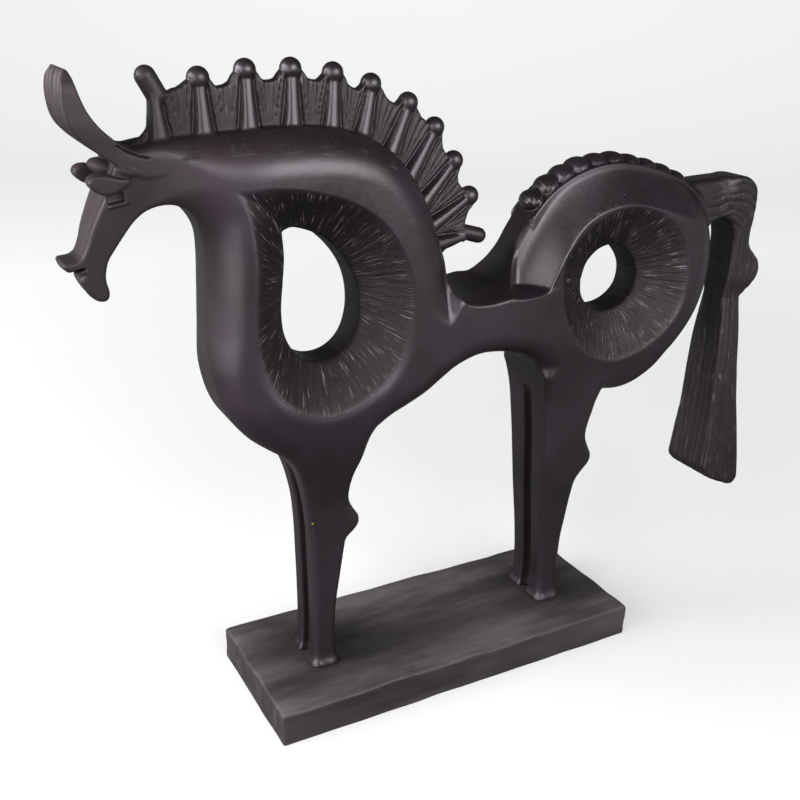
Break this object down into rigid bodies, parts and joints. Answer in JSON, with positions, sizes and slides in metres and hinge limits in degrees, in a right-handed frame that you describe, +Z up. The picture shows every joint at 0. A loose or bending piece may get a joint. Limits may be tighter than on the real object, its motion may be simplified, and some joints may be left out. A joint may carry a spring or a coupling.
{
  "type": "horse statue",
  "caption": "Stylised standing horse with a funnel-shaped hole through the shoulder and another through the haunch, a knobbed crest mane and a hanging tail, on a rectangular plinth.",
  "frame": {"origin": "middle of the plinth's underside", "axes": "the horse faces -X, its left side is -Y, +Z is up"},
  "size_m": [0.4391, 0.0944, 0.3617],
  "materials": {
    "horse": "satin",
    "plinth": "satin"
  },
  "bodies": {
    "root": {"horse": "horse", "plinth": "plinth"}
  },
  "joints": []
}
